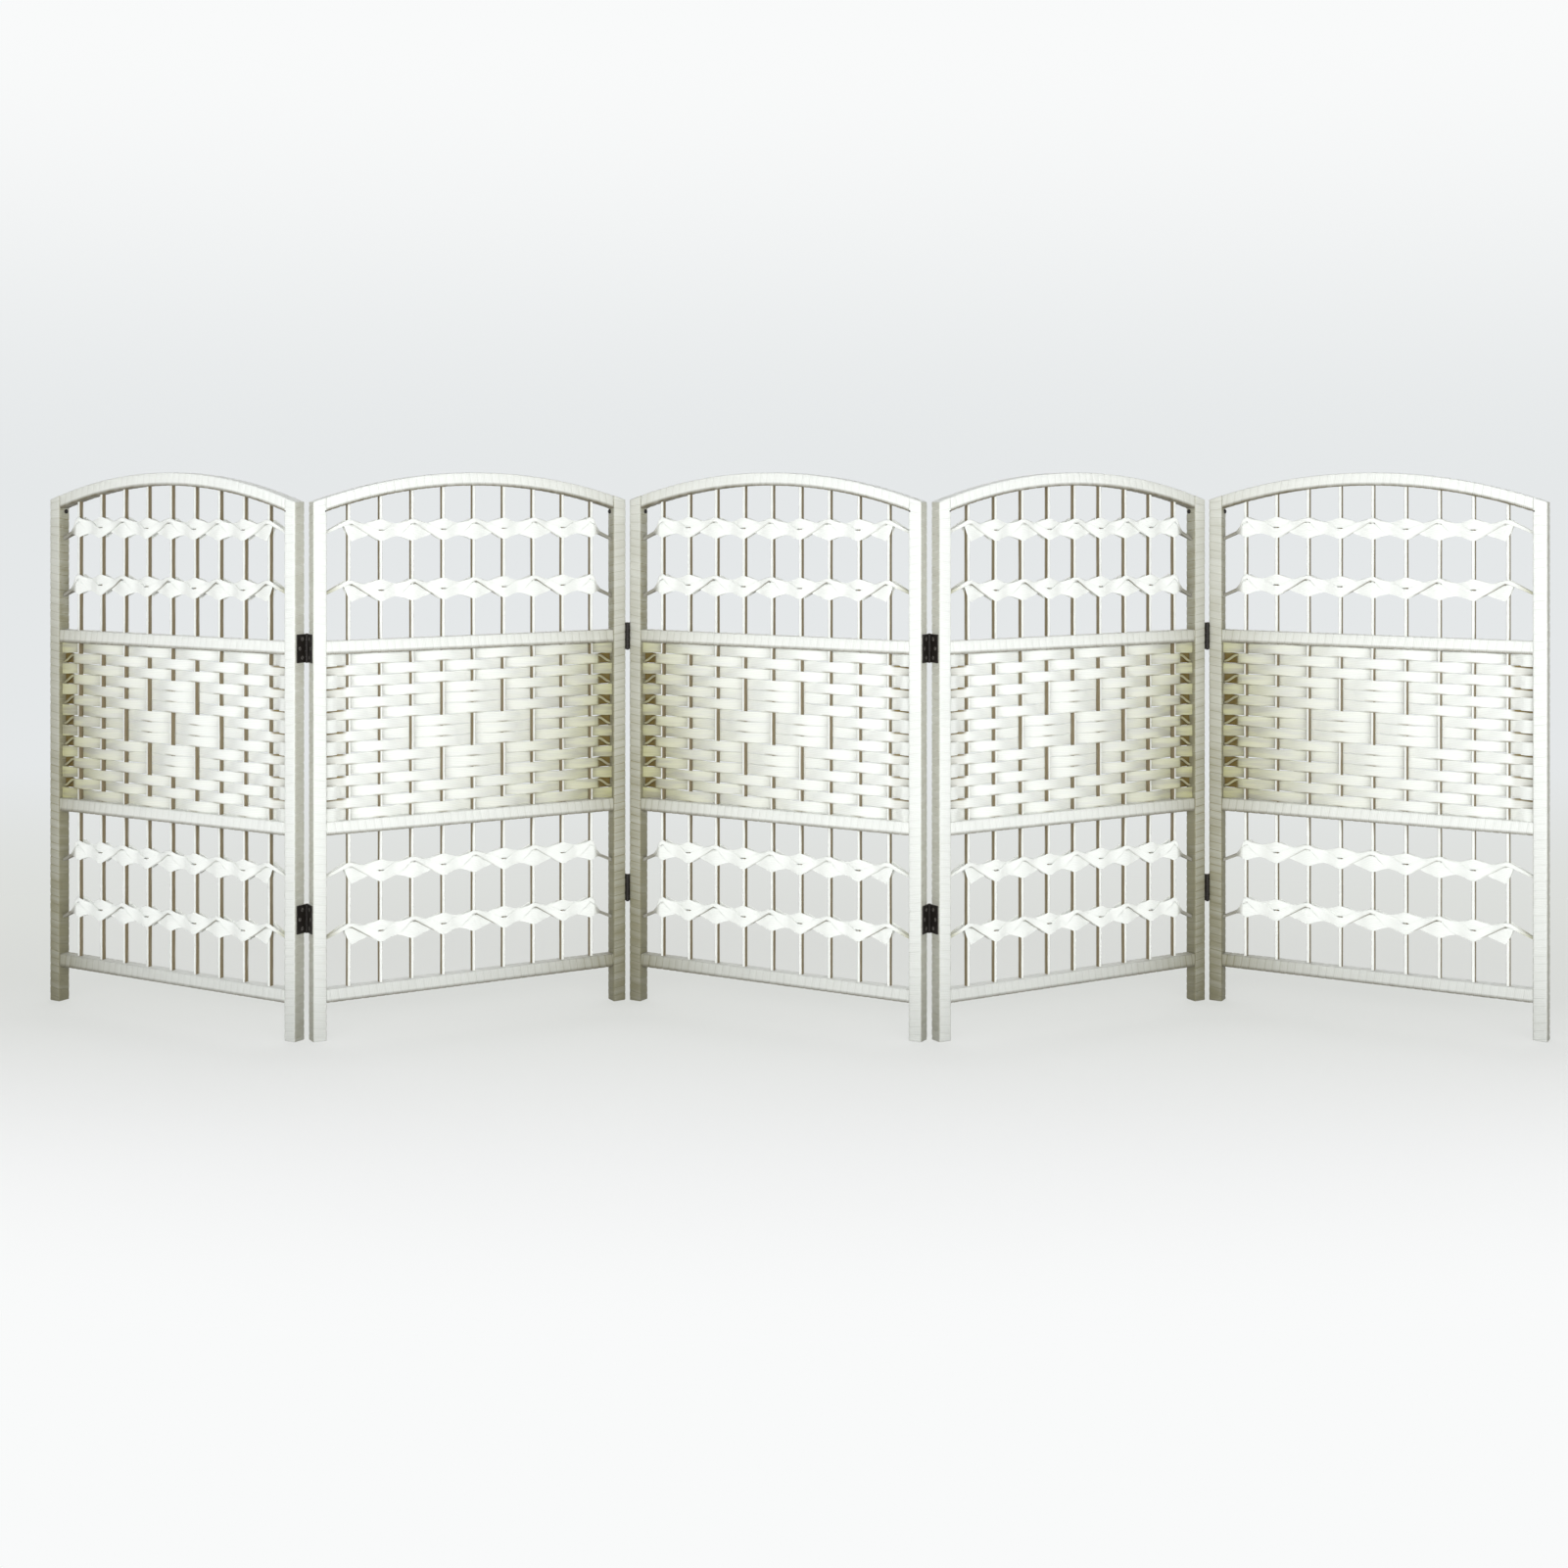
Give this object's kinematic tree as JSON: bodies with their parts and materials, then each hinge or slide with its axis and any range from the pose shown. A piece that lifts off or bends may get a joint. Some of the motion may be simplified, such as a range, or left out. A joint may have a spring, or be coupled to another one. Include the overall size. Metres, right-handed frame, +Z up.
{
  "type": "folding screen",
  "caption": "Low freestanding zigzag folding screen of woven fibre strip panels with arched top rails, open net fields and black butt hinges.",
  "frame": {"origin": "on the floor under the middle of the third panel, at the centre of the footprint of the standing zigzag", "axes": "+X along the row of panels to the right as seen from the front, +Y to the back, +Z up; the front faces -Y"},
  "size_m": [2.166, 0.2582, 0.791],
  "materials": {
    "frame_wrap": "matt, bound in whitewashed fibre strip",
    "lath_wrap": "matt, whitewashed on the front edge, plain on the sides",
    "strip_weave": "matt, woven flat fibre strip, whitewashed",
    "hinge_black": "satin black lacquer",
    "screw_black": "black phosphate, slotted heads worn a little",
    "pin_black": "black, worn a little on the button heads"
  },
  "bodies": {
    "panel_1": {"panel_1_left_post": "frame_wrap", "panel_1_right_post": "frame_wrap", "panel_1_arch_rail": "frame_wrap", "panel_1_upper_rail": "frame_wrap", "panel_1_lower_rail": "frame_wrap", "panel_1_bottom_rail": "frame_wrap", "panel_1_laths": "lath_wrap", "panel_1_weave": "strip_weave", "panel_1_nets": "strip_weave", "panel_1_hinge_leaves": "hinge_black", "panel_1_screws": "screw_black", "hinge_pins_1": "pin_black"},
    "panel_2": {"panel_2_left_post": "frame_wrap", "panel_2_right_post": "frame_wrap", "panel_2_arch_rail": "frame_wrap", "panel_2_upper_rail": "frame_wrap", "panel_2_lower_rail": "frame_wrap", "panel_2_bottom_rail": "frame_wrap", "panel_2_laths": "lath_wrap", "panel_2_weave": "strip_weave", "panel_2_nets": "strip_weave", "panel_2_hinge_leaves": "hinge_black", "panel_2_screws": "screw_black", "hinge_pins_2": "pin_black"},
    "panel_3": {"panel_3_left_post": "frame_wrap", "panel_3_right_post": "frame_wrap", "panel_3_arch_rail": "frame_wrap", "panel_3_upper_rail": "frame_wrap", "panel_3_lower_rail": "frame_wrap", "panel_3_bottom_rail": "frame_wrap", "panel_3_laths": "lath_wrap", "panel_3_weave": "strip_weave", "panel_3_nets": "strip_weave", "panel_3_hinge_leaves": "hinge_black", "panel_3_screws": "screw_black", "hinge_pins_3": "pin_black"},
    "panel_4": {"panel_4_left_post": "frame_wrap", "panel_4_right_post": "frame_wrap", "panel_4_arch_rail": "frame_wrap", "panel_4_upper_rail": "frame_wrap", "panel_4_lower_rail": "frame_wrap", "panel_4_bottom_rail": "frame_wrap", "panel_4_laths": "lath_wrap", "panel_4_weave": "strip_weave", "panel_4_nets": "strip_weave", "panel_4_hinge_leaves": "hinge_black", "panel_4_screws": "screw_black", "hinge_pins_4": "pin_black"},
    "panel_5": {"panel_5_left_post": "frame_wrap", "panel_5_right_post": "frame_wrap", "panel_5_arch_rail": "frame_wrap", "panel_5_upper_rail": "frame_wrap", "panel_5_lower_rail": "frame_wrap", "panel_5_bottom_rail": "frame_wrap", "panel_5_laths": "lath_wrap", "panel_5_weave": "strip_weave", "panel_5_nets": "strip_weave", "panel_5_hinge_leaves": "hinge_black", "panel_5_screws": "screw_black"}
  },
  "joints": [
    {"name": "fold_1", "type": "hinge", "parent": "panel_2", "child": "panel_1", "pos_m": [-0.65176, -0.11071, 0.375], "axis": [0, 0, -1], "range_deg": [-60, 120]},
    {"name": "fold_2", "type": "hinge", "parent": "panel_3", "child": "panel_2", "pos_m": [-0.21725, 0.11071, 0.375], "axis": [0, 0, 1], "range_deg": [-60, 120]},
    {"name": "fold_3", "type": "hinge", "parent": "panel_3", "child": "panel_4", "pos_m": [0.21725, -0.11071, 0.375], "axis": [0, 0, 1], "range_deg": [-60, 120]},
    {"name": "fold_4", "type": "hinge", "parent": "panel_4", "child": "panel_5", "pos_m": [0.65176, 0.11071, 0.375], "axis": [0, 0, -1], "range_deg": [-60, 120]}
  ],
  "couplings": [
    {"joint": "fold_4", "follows": "fold_3", "ratio": 1}
  ]
}
